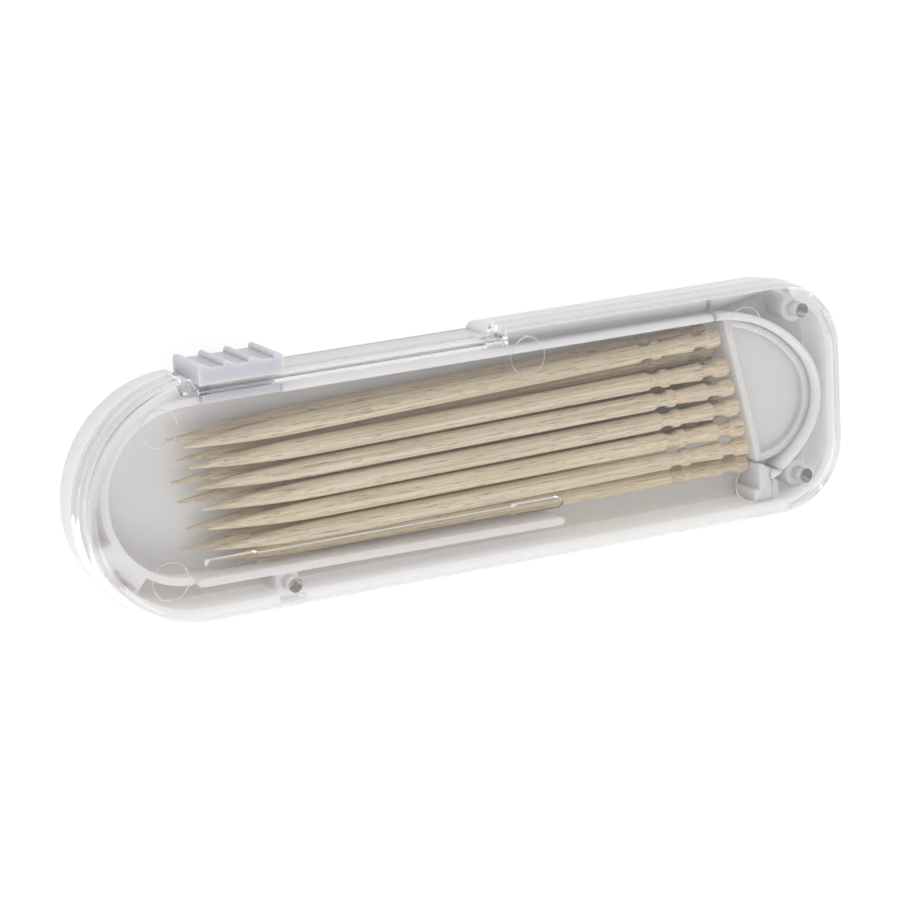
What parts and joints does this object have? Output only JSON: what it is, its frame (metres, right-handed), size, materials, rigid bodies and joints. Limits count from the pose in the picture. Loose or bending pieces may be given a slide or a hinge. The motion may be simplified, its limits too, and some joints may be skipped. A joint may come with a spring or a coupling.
{
  "type": "pocket toothpick dispenser",
  "caption": "Flat pocket toothpick case with a clear cover: a ridged slide button on its edge drives a strip that pushes a stick out of the round end.",
  "frame": {"origin": "middle of the case's outline on the outer face of the back shell, on which the case rests", "axes": "+Z out through the clear cover, +X along the case from its round end to its square end, +Y towards the slide button"},
  "size_m": [0.092, 0.0278, 0.0082],
  "materials": {
    "milky_shell": "glossy translucent milky polystyrene",
    "clear_cover": "glossy crystal-clear polystyrene",
    "tinted_button": "satin translucent lavender-white plastic",
    "strip_plastic": "satin translucent polypropylene",
    "stick_wood": "raw turned birch"
  },
  "bodies": {
    "case": {"back_shell": "milky_shell", "front_cover": "clear_cover", "pusher_strip": "strip_plastic", "toothpick_01": "stick_wood", "toothpick_02": "stick_wood", "toothpick_03": "stick_wood", "toothpick_04": "stick_wood", "toothpick_05": "stick_wood", "toothpick_06": "stick_wood", "toothpick_07": "stick_wood", "toothpick_08": "stick_wood", "toothpick_09": "stick_wood", "toothpick_10": "stick_wood", "toothpick_11": "stick_wood", "toothpick_12": "stick_wood"},
    "slider": {"slide_button": "tinted_button"},
    "pusher": {"pusher_head": "strip_plastic", "next_toothpick": "stick_wood"}
  },
  "joints": [
    {"name": "button_slide", "type": "slide", "parent": "case", "child": "slider", "axis": [1, 0, 0], "range_m": [0, 0.0234], "deforming": ["pusher_strip"]},
    {"name": "pusher_slide", "type": "slide", "parent": "case", "child": "pusher", "axis": [-1, 0, 0], "range_m": [0, 0.0234]}
  ],
  "couplings": [
    {"joint": "pusher_slide", "follows": "button_slide", "ratio": 1}
  ]
}
